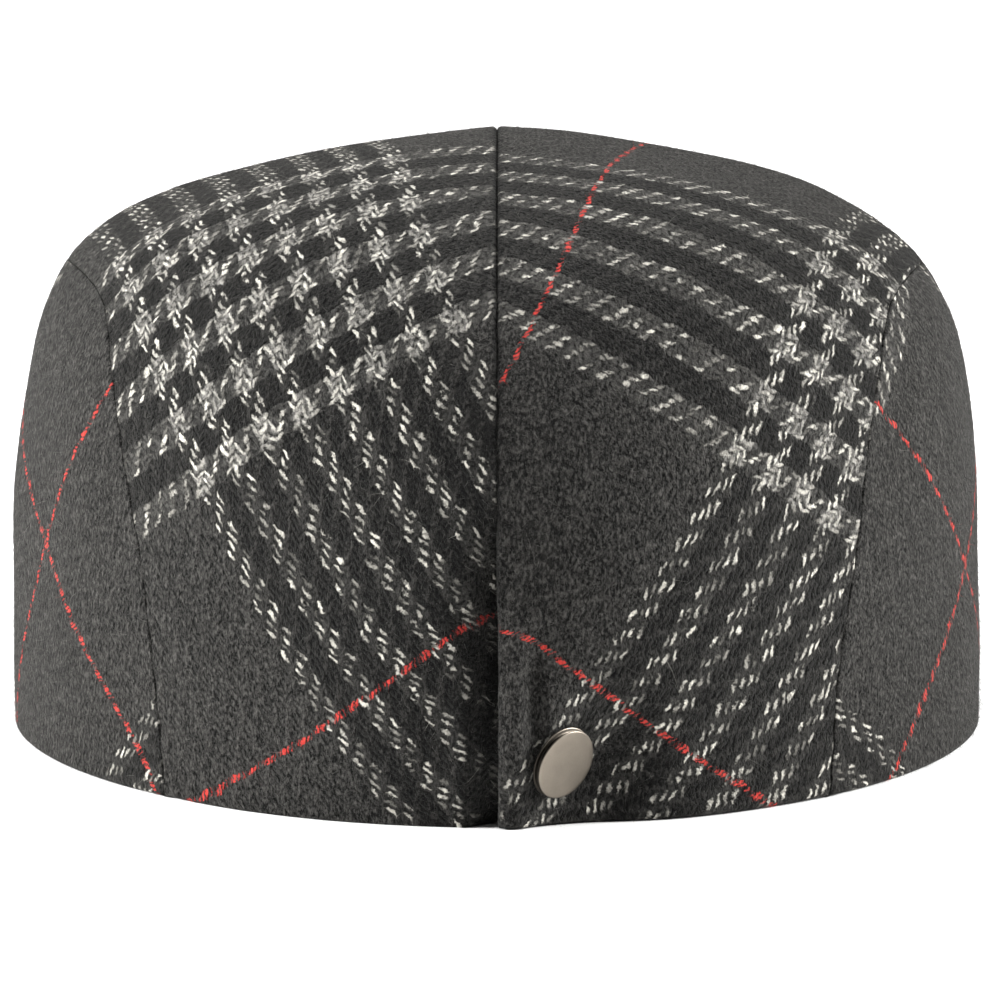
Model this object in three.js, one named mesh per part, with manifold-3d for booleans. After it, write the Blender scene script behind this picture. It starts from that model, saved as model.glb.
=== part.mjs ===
// A flat cap of glen plaid wool, resting on its rim. Millimetres, +Z up, the peak points to -Y.
// Two top panels meet at the centre seam, and a side panel closes each flank down to the rim.
// At the back the centre seam stays open near the rim: there the right panel laps over the left
// one and a press snap holds the two together.
import * as THREE from 'three';
import { mergeVertices } from 'three/addons/utils/BufferGeometryUtils.js';
import Module from 'manifold-3d';

// Driving dimensions
const clothThickness = 2.4;
const seamGap = 0.36;
const headCentreY = 23.92;     // centre of the head opening, from the middle of the cap's length
const apexY = 12;              // the crown's top lies this far behind the head centre
const backTaper = 0.055;       // the back half narrows by this share towards the centre seam
const frontFullness = 0.22;    // the front half is this much squarer than an ellipse

const peakThickness = 3.8;
const peakGap = 0.7;           // between the peak's top and the crown's edge
const peakArch = 21.5;         // rise of the peak from its corners to its middle
const peakCornerAngle = 74;    // degrees from straight ahead
const peakArchPower = 1.2;     // above 1 the arch rises more steeply towards its middle
const peakCornerRamp = 8;      // degrees over which the crown's edge comes down to the floor
const peakLip = 6.5;           // what shows of the peak past the crown
const peakLipAtCorner = 0.8;
const peakEdgeFrom = 0.9;      // the peak thins from this share of its width out to its edge
const peakEdgeThinning = 0.9;  // at the edge its thickness is down to the root of one less this
const peakInnerRise = 6;       // the peak slopes up towards the forehead by this much
const headHalfWidth = 86;
const headHalfLength = 98;

const ventHeight = 38;         // the centre seam is open below this height
const underlapWidth = 24;      // the left panel runs on this far under the right one at the rim
const underlapHeight = 42;     // narrowing to nothing at this height
const underlapDepth = 3.4;     // and lies this much deeper
const underlapReach = 12;      // the step down to it is this wide
const underlapFade = 14;       // and dies away over this height above it
const ventEdgeLift = 1.6;      // the lapping edge stands proud by this much
const ventEdgeIn = 3;          // most of all this far in from the seam
const ventEdgeWidth = 4;
const ventFadeBelow = 8;       // the lift dies away from this far below the vent's top
const ventFadeAbove = 6;       // to this far above it

const snapAzimuth = -7.7;      // degrees from the back, towards the right
const snapRing = 0.938;        // 1 is the rim
const snapRadius = 6.35;
const snapThickness = 1.9;
const postRadius = 2;
const snapEdge = 0.75;         // size of the rounded edge of its cap
const snapDome = 0.15;         // rise of the cap's face to its middle
const snapBottomEdge = 0.3;
const snapStandoff = 0.8;      // between the cloth's mean surface and the cap, past the seam gap
const postRun = 2;             // the post runs on this far past the under layer
const discRadius = 4.6;        // the inner disc, inside the cap
const discThickness = 1;
const postHoleRadius = 2.5;
const punchLength = 24;
const snapSlope = 0.58;        // the cloth under the snap slopes by this much, rise over run
const snapSlopeReach = 12;     // and is flat again past about this distance
const snapSlopeTurn = 34;      // degrees below level in which the slope runs down, to the right

// The crown as level rings, evenly spaced from the top down to the rim.
// Reaches are from the head centre, heights are above the rim plane.
const crownColumns = ['halfWidth', 'sideHeight', 'backReach', 'backHeight', 'frontReach', 'frontHeight'];
const crownRows = [
  [0, 111.5, 12, 111.5, -12, 111.5],
  [22, 108.7, 26, 111.1, 2, 109.5],
  [44, 103.9, 40, 109.8, 18, 105.2],
  [61.5, 97.9, 54.5, 107.2, 38, 98],
  [75, 89.5, 71, 101.5, 59, 88.5],
  [82.6, 77.2, 85.5, 90.5, 80, 78],
  [86.3, 63, 95.5, 75, 100, 67],
  [88, 48, 100.5, 57, 119, 56.5],
  [88.6, 32, 102.2, 38, 137, 46],
  [88.9, 16, 102.2, 19, 147.5, 36],
  [88.9, 0, 101.5, 0, 148.5, 25.6],
];

// The side seam, from the back rim over the shoulder to the front edge.
// Azimuth is in degrees from the back, ring is 0 at the top and 1 at the rim.
const seamColumns = ['azimuth', 'ring'];
const seamRows = [
  [43.3, 1],
  [45.4, 0.85],
  [49.3, 0.71],
  [54, 0.59],
  [61, 0.487],
  [73, 0.44],
  [88, 0.43],
  [103, 0.452],
  [116, 0.51],
  [127, 0.61],
  [135, 0.74],
  [139, 0.87],
  [140, 1],
];

// Mesh steps
const lengthSteps = 40;
const acrossSteps = 13;
const shoulderStep = 15;       // the side panel's upper back corner, in steps along the seam
const frontStep = 38;          // and its upper front corner
const peakSteps = 28;
const roundSteps = 20;
const backCrowding = 1.2;      // steps are closer together towards the back rim
const centreCrowding = 1.45;   // and towards the centre seam

const radians = THREE.MathUtils.degToRad;
const smoothstep = THREE.MathUtils.smoothstep;
const crownHeight = crownRows[0][1];
const rimHalfWidth = crownRows[crownRows.length - 1][0];
const frontEdgeHeight = crownRows[crownRows.length - 1][5];
const ringSize = 115;                  // mm of cloth to one ring unit, on average
const seamShift = seamGap / 2 / ringSize;

// A smooth curve through one named column of evenly spaced rows.
function alongRows(rows, columns, column, position) {
  const index = columns.indexOf(column);
  const last = rows.length - 1;
  const scaled = THREE.MathUtils.clamp(position, 0, 1) * last;
  const row = Math.min(Math.floor(scaled), last - 1);
  const t = scaled - row;
  const from = rows[row][index];
  const to = rows[row + 1][index];
  const before = row > 0 ? rows[row - 1][index] : 2 * from - to;
  const after = row < last - 1 ? rows[row + 2][index] : 2 * to - from;
  const bend = 2 * before - 5 * from + 4 * to - after + t * (3 * (from - to) + after - before);
  return from + 0.5 * t * (to - before + t * bend);
}

// Height of the peak's top at an angle from straight ahead, along the crown's front edge.
function peakTop(angle) {
  const corner = Math.cos(radians(peakCornerAngle)) ** 2;
  const share = Math.max(0, (Math.cos(angle) ** 2 - corner) / (1 - corner));
  return peakThickness + peakArch * share ** peakArchPower;
}

// Height of the crown's lower edge: on the floor round the back and sides, on the peak in front.
function edgeHeight(azimuth) {
  const angle = Math.PI - Math.abs(azimuth);
  const ramp = 1 - smoothstep(angle, radians(peakCornerAngle), radians(peakCornerAngle + peakCornerRamp));
  return ramp * (peakTop(angle) + peakGap);
}

// A place on the disc that crownPoint maps to the crown.
function discPoint(azimuth, ring) {
  return new THREE.Vector2(ring * Math.sin(azimuth), ring * Math.cos(azimuth));
}

// The crown's outer surface. ringX and ringY place a point on a disc seen from above:
// the top is at its centre, the rim on its edge, +ringY is the back and +ringX the left.
function crownPoint(ringX, ringY) {
  const ring = Math.min(Math.hypot(ringX, ringY), 1);
  const azimuth = Math.atan2(ringX, ringY);
  const back = Math.cos(azimuth);
  const side = Math.sin(azimuth);
  const value = (column) => alongRows(crownRows, crownColumns, column, ring);
  const centreY = apexY * (1 - ring) ** 2;
  const edge = edgeHeight(azimuth);
  const sideShare = value('sideHeight') / crownHeight;
  let x = value('halfWidth') * side;
  let y = centreY;
  let endShare = value('backHeight') / crownHeight;
  if (back < 0) {
    x *= 1 + frontFullness * ring * back ** 2;
    y += (value('frontReach') + centreY) * back;
    endShare = (value('frontHeight') - frontEdgeHeight) / (crownHeight - frontEdgeHeight);
  } else {
    x *= 1 - backTaper * back;
    y += (value('backReach') - centreY) * back;
  }
  const share = endShare * back ** 2 + sideShare * side ** 2;
  return new THREE.Vector3(x, y, edge + share * (crownHeight - edge));
}

const snapDisc = discPoint(radians(snapAzimuth), snapRing);
const snapCentre = crownPoint(snapDisc.x, snapDisc.y);

// How far the cloth is pushed out of the crown's surface round the vent and the snap.
function ventRelief(point, isLeft) {
  if (point.y < 0) {
    return 0;
  }
  const alongX = snapCentre.x - point.x;
  const alongZ = snapCentre.z - point.z;
  const turn = radians(snapSlopeTurn);
  const downhill = Math.cos(turn) * alongX + Math.sin(turn) * alongZ;
  const near = Math.exp(-(alongX ** 2 + alongZ ** 2) / snapSlopeReach ** 2);
  const slope = -snapSlope * downhill * near;
  if (isLeft) {
    const low = 1 - smoothstep(point.z, underlapHeight, underlapHeight + underlapFade);
    const inward = 1 - smoothstep(point.x, 0, underlapReach);
    return inward * (slope - underlapDepth * low);
  }
  const open = 1 - smoothstep(point.z, ventHeight - ventFadeBelow, ventHeight + ventFadeAbove);
  const edge = Math.exp(-(((point.x + ventEdgeIn) / ventEdgeWidth) ** 2));
  return slope + ventEdgeLift * open * edge;
}

// A panel's outer surface: the crown, mirrored for the right, with the relief added.
function panelPoint(ringX, ringY, isLeft) {
  const base = crownPoint(ringX, ringY);
  const relief = ventRelief(base, isLeft);
  if (Math.abs(relief) < 0.001) {
    return base;
  }
  const pushed = base.clone().addScaledVector(surfaceNormal(crownPoint, ringX, ringY), relief);
  if (onRim(ringX, ringY)) {
    pushed.z = base.z;
  }
  return pushed;
}

function onRim(ringX, ringY) {
  return Math.hypot(ringX, ringY) > 0.9999;
}

function surfaceNormal(surface, ringX, ringY) {
  const step = 0.002;
  const inside = Math.min(1, (1 - step) / Math.max(Math.hypot(ringX, ringY), step));
  const x = ringX * inside;
  const y = ringY * inside;
  const alongX = surface(x + step / 2, y).sub(surface(x - step / 2, y));
  const alongY = surface(x, y + step / 2).sub(surface(x, y - step / 2));
  return alongX.cross(alongY).normalize();
}

// A closed solid between two surfaces over the same grid, with walls round its four edges.
function shell(uSteps, vSteps, outer, inner) {
  const positions = [];
  const indices = [];
  const row = vSteps + 1;
  const layer = (uSteps + 1) * row;
  for (const surface of [outer, inner]) {
    for (let i = 0; i <= uSteps; i += 1) {
      for (let j = 0; j <= vSteps; j += 1) {
        positions.push(...surface(i / uSteps, j / vSteps).toArray());
      }
    }
  }
  const quad = (a, b, c, d) => indices.push(a, b, c, a, c, d);
  for (let i = 0; i < uSteps; i += 1) {
    for (let j = 0; j < vSteps; j += 1) {
      const a = i * row + j;
      quad(a, a + row, a + row + 1, a + 1);
      quad(layer + a, layer + a + 1, layer + a + row + 1, layer + a + row);
    }
  }
  for (let i = 0; i < uSteps; i += 1) {
    const near = i * row;
    const far = near + vSteps;
    quad(near, layer + near, layer + near + row, near + row);
    quad(far, far + row, layer + far + row, layer + far);
  }
  for (let j = 0; j < vSteps; j += 1) {
    const end = uSteps * row + j;
    quad(j, j + 1, layer + j + 1, layer + j);
    quad(end, layer + end, layer + end + 1, end + 1);
  }
  const geometry = new THREE.BufferGeometry();
  geometry.setAttribute('position', new THREE.Float32BufferAttribute(positions, 3));
  geometry.setIndex(indices);
  return facingOut(geometry);
}

// Turns every triangle over where the solid came out with its inside facing out.
function facingOut(geometry) {
  const points = geometry.getAttribute('position');
  const index = geometry.getIndex();
  let volume = 0;
  const corner = (i) => new THREE.Vector3().fromBufferAttribute(points, index.getX(i));
  for (let i = 0; i < index.count; i += 3) {
    volume += corner(i).dot(corner(i + 1).cross(corner(i + 2)));
  }
  if (volume < 0) {
    geometry.setIndex(Array.from(index.array).reverse());
  }
  return geometry;
}

// A point of the side seam, moved by shift across the seam, away from the centre seam if positive.
function seamPoint(position, shift) {
  const at = (s) => {
    const azimuth = radians(alongRows(seamRows, seamColumns, 'azimuth', s));
    return discPoint(azimuth, alongRows(seamRows, seamColumns, 'ring', s));
  };
  const step = 0.001;
  const along = at(Math.min(position + step, 1)).sub(at(Math.max(position - step, 0))).normalize();
  const point = at(position).addScaledVector(new THREE.Vector2(-along.y, along.x), shift);
  if (position === 0 || position === 1 || point.length() > 1) {
    point.setLength(1);
  }
  return point;
}

// A point of the centre seam's edge, from the back rim (0) over the top to the front edge (1).
// Below the vent the left panel's edge runs on under the right one, in a rounded corner.
function centrePoint(position, isLeft) {
  const ringY = 1 - 2 * position;
  const height = crownPoint(0, ringY).z;
  let ringX = seamShift;
  if (isLeft && position < 0.5 && height < underlapHeight) {
    const width = underlapWidth * (1 - (height / underlapHeight) ** 2);
    ringX = Math.min(seamShift, -width / rimHalfWidth);
  }
  const point = new THREE.Vector2(ringX, ringY);
  return Math.abs(ringY) < 1 ? point : point.setLength(1);
}

function rimArc(from, to, share) {
  const start = Math.atan2(from.x, from.y);
  const end = Math.atan2(to.x, to.y);
  return discPoint(start + (end - start) * share, 1);
}

// A grid of four edge curves: the edges keep their places and the middle is blended.
function blend(u, v, edges) {
  const mix = (a, b, share) => a.clone().lerp(b, share);
  const across = mix(edges.low(u), edges.high(u), v);
  const along = mix(edges.start(v), edges.end(v), u);
  const corners = mix(mix(edges.low(0), edges.high(0), v), mix(edges.low(1), edges.high(1), v), u);
  return across.add(along).sub(corners);
}

// One wall of cloth over a blended grid of the crown's disc.
function clothShell(uSteps, vSteps, edges, isLeft, crowding = 1) {
  const side = isLeft ? 1 : -1;
  const surface = (x, y) => panelPoint(side * x, y, isLeft);
  const outer = (u, v) => {
    const disc = blend(u, v ** crowding, edges);
    return surface(disc.x, disc.y);
  };
  const inner = (u, v) => {
    const disc = blend(u, v ** crowding, edges);
    const point = surface(disc.x, disc.y);
    const normal = surfaceNormal(surface, disc.x, disc.y);
    const inside = point.clone().addScaledVector(normal, -side * clothThickness);
    if (onRim(disc.x, disc.y)) {
      inside.z = point.z;
    }
    return inside;
  };
  return shell(uSteps, vSteps, outer, inner);
}

function topPanel(isLeft) {
  const seam = (u) => seamPoint(u ** backCrowding, -seamShift);
  const centre = (u) => centrePoint(u ** backCrowding, isLeft);
  const edges = {
    low: centre,
    high: seam,
    start: (v) => rimArc(centre(0), seam(0), v),
    end: (v) => rimArc(centre(1), seam(1), v),
  };
  return clothShell(lengthSteps, acrossSteps, edges, isLeft, centreCrowding);
}

function sidePanel(isLeft) {
  const shoulder = shoulderStep / lengthSteps;
  const front = frontStep / lengthSteps;
  const seam = (s) => seamPoint(s ** backCrowding, seamShift);
  const edges = {
    low: (u) => rimArc(seam(0), seam(1), u),
    high: (u) => seam(shoulder + (front - shoulder) * u),
    start: (v) => seam(shoulder * v),
    end: (v) => seam(1 - (1 - front) * v),
  };
  return clothShell(frontStep - shoulderStep, shoulderStep, edges, isLeft);
}

// The stiff peak: a crescent under the crown's front, arched from corner to corner.
function peak() {
  const cornerAngle = radians(peakCornerAngle);
  const station = (u, v) => {
    const angle = cornerAngle * (2 * u - 1);
    const azimuth = Math.PI - angle;
    const edge = crownPoint(Math.sin(azimuth), Math.cos(azimuth));
    const reach = Math.hypot(edge.x, edge.y);
    const head = 1 / Math.hypot(edge.x / reach / headHalfWidth, edge.y / reach / headHalfLength);
    const grow = Math.cos(angle * 90 / peakCornerAngle);
    const lip = peakLipAtCorner + (peakLip - peakLipAtCorner) * grow;
    const radius = head + (reach + lip - head) * v;
    const inward = Math.max(0, (reach - radius) / (reach - head));
    const rise = peakInnerRise * Math.cos(angle) * inward ** 2;
    const middle = peakTop(angle) + rise - peakThickness / 2;
    const toEdge = Math.max(0, (v - peakEdgeFrom) / (1 - peakEdgeFrom));
    const half = peakThickness / 2 * Math.sqrt(1 - peakEdgeThinning * toEdge ** 2);
    const x = edge.x / reach * radius;
    const y = edge.y / reach * radius;
    return [new THREE.Vector3(x, y, middle + half), new THREE.Vector3(x, y, middle - half)];
  };
  const rows = [0, 0.15, 0.3, 0.45, 0.6, 0.75, 0.9, 0.96, 0.99, 1];
  const last = rows.length - 1;
  const top = (u, v) => station(u, rows[Math.round(v * last)])[0];
  const bottom = (u, v) => station(u, rows[Math.round(v * last)])[1];
  return shell(peakSteps, last, top, bottom);
}

// Where the snap sits: a frame whose Y axis is the cloth's own normal there.
function snapFrame() {
  const surface = (x, y) => panelPoint(x, y, false);
  const centre = surface(snapDisc.x, snapDisc.y);
  const normal = surfaceNormal(surface, snapDisc.x, snapDisc.y);
  const turn = new THREE.Quaternion().setFromUnitVectors(new THREE.Vector3(0, 1, 0), normal);
  return new THREE.Matrix4().compose(centre, turn, new THREE.Vector3(1, 1, 1));
}

// The press snap in one piece: a low cap outside, a post through both layers, a disc inside.
function snapGeometry() {
  const seat = seamGap + snapStandoff;
  const inside = -underlapDepth - clothThickness - postRun;
  const top = seat + snapThickness;
  const profile = [
    [0, inside - discThickness],
    [discRadius, inside - discThickness],
    [discRadius, inside],
    [postRadius, inside],
    [postRadius, seat],
    [snapRadius - snapBottomEdge, seat],
    [snapRadius, seat + snapBottomEdge],
    [snapRadius, top - snapEdge],
    [snapRadius - snapEdge * 0.3, top - snapEdge * 0.3],
    [snapRadius - snapEdge, top],
    [0, top + snapDome],
  ].map(([radius, height]) => new THREE.Vector2(radius, height));
  return new THREE.LatheGeometry(profile, roundSteps);
}

const wasm = await Module();
wasm.setup();

function toSolid(geometry) {
  const bare = geometry.clone();
  bare.deleteAttribute('normal');
  bare.deleteAttribute('uv');
  const merged = mergeVertices(bare);
  return new wasm.Manifold(new wasm.Mesh({
    numProp: 3,
    vertProperties: new Float32Array(merged.getAttribute('position').array),
    triVerts: new Uint32Array(merged.getIndex().array),
  }));
}

function toGeometry(solid) {
  const mesh = solid.getMesh();
  const geometry = new THREE.BufferGeometry();
  geometry.setAttribute('position', new THREE.BufferAttribute(new Float32Array(mesh.vertProperties), 3));
  geometry.setIndex(new THREE.BufferAttribute(new Uint32Array(mesh.triVerts), 1));
  return geometry;
}

const cap = new THREE.Group();
const plaid = new THREE.MeshStandardMaterial({ color: 0x4a4a48, roughness: 0.95, metalness: 0 });
const metal = new THREE.MeshStandardMaterial({ color: 0x8e867c, roughness: 0.35, metalness: 1 });

function addPiece(name, geometry, material) {
  const mesh = new THREE.Mesh(geometry, material);
  mesh.name = name;
  mesh.position.y = headCentreY;
  cap.add(mesh);
}

const frame = snapFrame();
const punch = new THREE.CylinderGeometry(postHoleRadius, postHoleRadius, punchLength, roundSteps);
const postHole = toSolid(punch.applyMatrix4(frame));
const pierced = (geometry) => toGeometry(toSolid(geometry).subtract(postHole));

addPiece('top_panel_left', pierced(topPanel(true)), plaid);
addPiece('top_panel_right', pierced(topPanel(false)), plaid);
addPiece('side_panel_left', sidePanel(true), plaid);
addPiece('side_panel_right', sidePanel(false), plaid);
addPiece('peak', peak(), plaid);
addPiece('snap', snapGeometry().applyMatrix4(frame), metal);

export default cap;
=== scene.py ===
# A glen plaid flat cap seen from behind. The shapes are worked out in millimetres about the
# middle of the head opening, then scaled to metres and put where the frame has them.
import math
import bpy
import numpy as np
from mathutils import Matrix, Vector


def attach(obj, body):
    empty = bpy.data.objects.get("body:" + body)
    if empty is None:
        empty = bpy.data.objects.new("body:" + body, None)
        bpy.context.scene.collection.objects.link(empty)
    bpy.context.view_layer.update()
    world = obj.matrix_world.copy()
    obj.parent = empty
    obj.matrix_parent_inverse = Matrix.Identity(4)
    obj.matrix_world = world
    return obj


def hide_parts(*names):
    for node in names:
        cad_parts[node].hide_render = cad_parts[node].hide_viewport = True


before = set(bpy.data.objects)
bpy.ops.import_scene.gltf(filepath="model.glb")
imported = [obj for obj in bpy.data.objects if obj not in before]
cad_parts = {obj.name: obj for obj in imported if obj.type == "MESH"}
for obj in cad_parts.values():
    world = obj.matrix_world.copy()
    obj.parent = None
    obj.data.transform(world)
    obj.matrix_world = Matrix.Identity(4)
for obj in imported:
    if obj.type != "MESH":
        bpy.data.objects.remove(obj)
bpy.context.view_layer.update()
mm = 0.001

# the crown's own shape
crown = {
    "headCentreY": 23.92,       # the head opening's middle, behind the middle of the whole cap
    "height": 111.5,
    "apexY": 12,                # the top lies this far behind the head's middle
    "backTaper": 0.055,         # the back half narrows by this share towards the centre seam
    "frontFullness": 0.22,      # the front half is this much squarer than an ellipse
    "cloth": 2.4,               # thickness
    "rimEdge": 0.9999,          # past this the ring is the rim itself
    # level rings from the top down to the rim: half width and height at the side,
    # reach and height at the back, reach and height in front
    "rings": [
        (0, 111.5, 12, 111.5, -12, 111.5),
        (22, 108.7, 26, 111.1, 2, 109.5),
        (44, 103.9, 40, 109.8, 18, 105.2),
        (61.5, 97.9, 54.5, 107.2, 38, 98),
        (75, 89.5, 71, 101.5, 59, 88.5),
        (82.6, 77.2, 85.5, 90.5, 80, 78),
        (86.3, 63, 95.5, 75, 100, 67),
        (88, 48, 100.5, 57, 119, 56.5),
        (88.6, 32, 102.2, 38, 137, 46),
        (88.9, 16, 102.2, 19, 147.5, 36),
        (88.9, 0, 101.5, 0, 148.5, 25.6),
    ],
    # the side seam from the back rim over the shoulder to the front edge:
    # degrees from the back, and ring place from the top (0) to the rim (1)
    "sideSeam": [
        (43.3, 1), (45.4, 0.85), (49.3, 0.71), (54, 0.59), (61, 0.487), (73, 0.44), (88, 0.43),
        (103, 0.452), (116, 0.51), (127, 0.61), (135, 0.74), (139, 0.87), (140, 1),
    ],
}
peakShape = {
    "thickness": 3.8,
    "arch": 21.5,               # rise from the corners to the middle
    "archPower": 1.2,           # more than 1 flattens the corners
    "cornerAngle": 74,          # degrees from straight ahead
    "cornerRamp": 8,            # degrees over which the crown's edge comes down to the floor
    "lip": 6.5,                 # what shows past the crown in the middle
    "lipAtCorner": 0.8,
    "innerRise": 6,             # towards the forehead
    "gap": 0.7,                 # between the peak's top and the crown's edge
    "headHalfWidth": 86,
    "headHalfLength": 98,
}
vent = {
    "height": 38,               # the centre seam is open below this
    "fadeBelow": 8,             # the lapping edge settles from this far below that height
    "fadeAbove": 6,             # to this far above it
    "underlapWidth": 24,        # how far the left panel runs on under the right one at the rim
    "underlapHeight": 42,       # narrowing to nothing here
    "underlapFade": 14,         # its depth dies away over this height above
    "underlapDepth": 4.4,
    "underlapTo": 0.6,          # the left panel turns in between these distances from the seam
    "underlapFrom": 6.2,
    "tuckFrom": 2.5,            # the painted shade in its recess under the lapping edge fades out between here
    "tuckPast": 1,              # and this far past the turn
    "tuckBelow": 6,             # and, going up, from this far below the vent's top
    "edgeLift": 1.7,            # the lapping edge stands proud
    "edgeIn": 3,                # most of all this far in from the seam
    "edgeWidth": 3.6,
    "valleyDepth": 2.3,         # the pucker beside it
    "valleyAt": 6.1,
    "valleyWidth": 1.7,
    "valleyFoot": (3, 12),      # it deepens between these heights
    "valleyHead": (22, 36),     # and dies away between these
    "paintedValleyShade": 0.3,         # painted shade in its fold
    "snapAzimuth": -7.4,
    "snapRing": 0.938,
    "snapSlope": 0.75,          # how steeply the cloth falls away under the snap
    "snapReach": 12,
    "snapTurn": 25,             # degrees below level
    "slopeFade": 12,            # the left panel takes up the slope over this far from the seam
}


def smooth(value, low, high):
    # 0 below low, 1 above high, an S between
    t = np.clip((value - low) / (high - low), 0, 1)
    return t * t * (3 - 2 * t)


def bell(distance, width):
    # 1 at no distance, falling off with the square of the distance counted in widths
    return np.exp(-(distance / width) ** 2)


def alongRows(rows, place):
    # a Catmull-Rom curve through evenly spaced rows: place 0 is the first row, 1 the last
    rows = np.array(rows, float)
    last = len(rows) - 1
    rows = np.vstack([2 * rows[0] - rows[1], rows, 2 * rows[-1] - rows[-2]])
    scaled = np.clip(place, 0, 1) * last
    row = np.minimum(scaled.astype(int), last - 1)
    t = (scaled - row)[..., None]
    before, start, end, after = (rows[row + k] for k in range(4))
    bend = 2 * before - 5 * start + 4 * end - after + t * (3 * (start - end) + after - before)
    return start + 0.5 * t * (end - before + t * bend)


def peakTop(angle):
    # height of the peak's top, from its corner (low) to straight ahead (high)
    corner = math.cos(math.radians(peakShape["cornerAngle"])) ** 2
    share = np.maximum(0, (np.cos(angle) ** 2 - corner) / (1 - corner))
    return peakShape["thickness"] + peakShape["arch"] * share ** peakShape["archPower"]


def crownPoint(disc):
    # disc is a place on the unit disc seen from above, the rim on its edge and the back at +Y.
    # Every ring is two half ellipses; heights blend from side to end by the square of the sine.
    ring = np.minimum(np.hypot(disc[..., 0], disc[..., 1]), 1)
    azimuth = np.arctan2(disc[..., 0], disc[..., 1])
    back, side = np.cos(azimuth), np.sin(azimuth)
    halfWidth, sideHeight, backReach, backHeight, frontReach, frontHeight = np.moveaxis(
        alongRows(crown["rings"], ring), -1, 0)
    top, edgeFront = crown["height"], crown["rings"][-1][5]
    corner = math.radians(peakShape["cornerAngle"])
    ahead = np.pi - np.abs(azimuth)
    ramp = math.radians(peakShape["cornerRamp"])
    edge = (1 - smooth(ahead, corner, corner + ramp)) * (peakTop(ahead) + peakShape["gap"])
    centreY = crown["apexY"] * (1 - ring) ** 2
    inFront = back < 0
    x = halfWidth * side * np.where(
        inFront, 1 + crown["frontFullness"] * ring * back ** 2, 1 - crown["backTaper"] * back)
    y = centreY + back * np.where(inFront, frontReach + centreY, backReach - centreY)
    end = np.where(inFront, (frontHeight - edgeFront) / (top - edgeFront), backHeight / top)
    share = end * back ** 2 + sideHeight / top * side ** 2
    return np.stack([x, y, edge + share * (top - edge)], -1)


def discPoint(azimuth, ring):
    # ring times the sine and the cosine of the angle from the back
    return np.stack([ring * np.sin(azimuth), ring * np.cos(azimuth)], -1)


def normalOf(surface, disc, step=0.002):
    # the cross product of the surface's two slopes, just inside the rim
    radius = np.maximum(np.hypot(disc[..., 0], disc[..., 1]), step)[..., None]
    inside = disc * np.minimum(1, (1 - step) / radius)
    alongX = surface(inside + [step / 2, 0]) - surface(inside - [step / 2, 0])
    alongY = surface(inside + [0, step / 2]) - surface(inside - [0, step / 2])
    normal = np.cross(alongX, alongY)
    return normal / np.linalg.norm(normal, axis=-1, keepdims=True)


def isOnRim(disc):
    return np.hypot(disc[..., 0], disc[..., 1]) > crown["rimEdge"]


snapDisc = discPoint(math.radians(vent["snapAzimuth"]), vent["snapRing"])
snapSpot = crownPoint(snapDisc)


def valleyShare(point):
    # the pucker beside the vent, 0 to 1: a bell across it, faded in and out up its height
    across = bell(point[..., 0] + vent["valleyAt"], vent["valleyWidth"])
    height = point[..., 2]
    return across * smooth(height, *vent["valleyFoot"]) * (1 - smooth(height, *vent["valleyHead"]))


def relief(point, isLeft):
    # how far the cloth stands off the crown's plain surface: the slope under the snap is a
    # plane times a bell; the left panel steps in at the vent, the right one's edge lifts
    x, y, z = np.moveaxis(point, -1, 0)
    alongX, alongZ = snapSpot[0] - x, snapSpot[2] - z
    turn = math.radians(vent["snapTurn"])
    downhill = math.cos(turn) * alongX + math.sin(turn) * alongZ
    near = np.exp(-(alongX ** 2 + alongZ ** 2) / vent["snapReach"] ** 2)
    slope = -vent["snapSlope"] * downhill * near
    if isLeft:
        low = 1 - smooth(z, vent["underlapHeight"], vent["underlapHeight"] + vent["underlapFade"])
        turnedIn = 1 - smooth(x, vent["underlapTo"], vent["underlapFrom"])
        push = (1 - smooth(x, 0, vent["slopeFade"])) * slope
        push = push - turnedIn * vent["underlapDepth"] * low
    else:
        openTo = vent["height"]
        opened = 1 - smooth(z, openTo - vent["fadeBelow"], openTo + vent["fadeAbove"])
        edge = bell(x + vent["edgeIn"], vent["edgeWidth"])
        push = slope + vent["edgeLift"] * opened * edge - vent["valleyDepth"] * valleyShare(point)
    return np.where(y > 0, push, 0)


def panelSurface(isLeft):
    # the crown with the relief pushed out along its normal; the rim keeps its height
    def surface(disc):
        base = crownPoint(disc)
        pushed = base + relief(base, isLeft)[..., None] * normalOf(crownPoint, disc)
        pushed[..., 2] = np.where(isOnRim(disc), base[..., 2], pushed[..., 2])
        return pushed
    return surface


# the panels as cut cloth
panelMesh = {
    "seamGap": 0.05,
    "seamPress": 0.14,          # how far the centre seam's edges press into each other
    "seamRound": 0.9,           # they turn down over this far
    "sideRound": 0.3,           # the side seams are pressed flatter
    "sidePressed": 0.7,         # and their edges sink this much less
    "paintedShadeReach": 0.8,         # the cloth is painted darker this near a seam, as shade in the seam's groove
    # so much of that painted shade at the side seams
    "sideCrease": 0.1,
    "topSteps": (150, 100),
    "sideSteps": (110, 70),
    "flatSteps": (80, 28),      # the coarse grid that is unwrapped
    # where the flat cloth's origin is on it, and a place straight up from there
    "topOrigin": ((12, 0), (22, 0)),
    "sideOrigin": ((24, 0), (24, 12)),
    "crowding": 0.86,           # how much closer the rows are along the edges
    "shoulder": 0.36,           # where along the side seam its upper corners are
    "front": 0.94,
    "discSize": 115,            # mm of cloth from the top to the rim, to turn a gap to disc units
    "nearby": 0.001,            # share of the seam over which its direction is taken
}


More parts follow.
